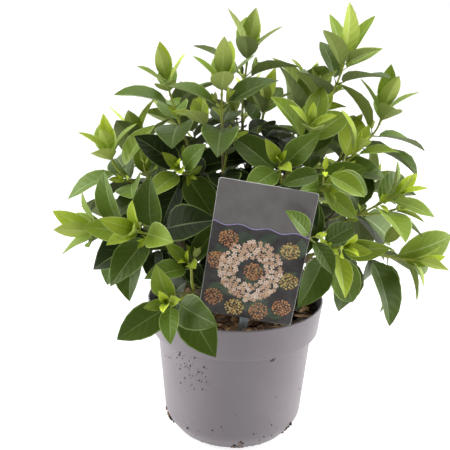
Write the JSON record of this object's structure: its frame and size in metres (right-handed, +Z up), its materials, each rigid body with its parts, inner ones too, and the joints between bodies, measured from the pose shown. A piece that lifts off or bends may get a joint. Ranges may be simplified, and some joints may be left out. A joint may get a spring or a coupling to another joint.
{
  "type": "potted laurustinus",
  "caption": "Evergreen laurustinus shrub with opposite oval leaves and lime green young shoots, growing in a round grey nursery pot with a plain picture label.",
  "frame": {"origin": "centre of the pot's flat underside, on the surface it stands on", "axes": "+Z up along the pot's axis, -Y towards the label's printed side, +X to the right seen from there"},
  "size_m": [0.3025, 0.23, 0.3415],
  "materials": {
    "pot_grey": "matt moulded grey plastic, faintly violet",
    "soil_brown": "moist potting soil under bark chips",
    "card_print": "printed satin plastic card",
    "clear_plastic": "clear plastic stake",
    "bark_brown": "thin brown bark, greener towards the tips",
    "shoot_green": "satin green leaves, paler below, lime green at the tips"
  },
  "bodies": {
    "root": {"bough_back_high": "bark_brown", "bough_back_left": "bark_brown", "bough_back_right": "bark_brown", "bough_centre_front": "bark_brown", "bough_centre_right": "bark_brown", "bough_front_left": "bark_brown", "bough_left": "bark_brown", "bough_left_upper": "bark_brown", "bough_right": "bark_brown", "bough_right_front": "bark_brown", "bough_right_upper": "bark_brown", "bough_top": "bark_brown", "bough_upper_left": "bark_brown", "bough_upper_right": "bark_brown", "label_card": "card_print", "label_stake": "clear_plastic", "main_stem": "bark_brown", "pot": "pot_grey", "shoot_crown_front": "shoot_green", "shoot_crown_right": "shoot_green", "shoot_crown_top": "shoot_green", "shoot_far_left": "shoot_green", "shoot_far_right": "shoot_green", "shoot_front_right": "shoot_green", "shoot_left_high": "shoot_green", "shoot_left_high_rear": "shoot_green", "shoot_left_inner": "shoot_green", "shoot_left_low_rear": "shoot_green", "shoot_left_mid": "shoot_green", "shoot_low_inner": "shoot_green", "shoot_low_right": "shoot_green", "shoot_low_rosette": "shoot_green", "shoot_over_label": "shoot_green", "shoot_rear_high": "shoot_green", "shoot_rear_left": "shoot_green", "shoot_rear_left_low": "shoot_green", "shoot_rear_low": "shoot_green", "shoot_rear_right": "shoot_green", "shoot_rear_right_low": "shoot_green", "shoot_right_high": "shoot_green", "shoot_right_inner": "shoot_green", "shoot_right_low": "shoot_green", "shoot_right_mid": "shoot_green", "shoot_right_rear": "shoot_green", "shoot_top_right": "shoot_green", "shoot_top_right_rear": "shoot_green", "shoot_upper_left": "shoot_green", "soil": "soil_brown"}
  },
  "joints": []
}
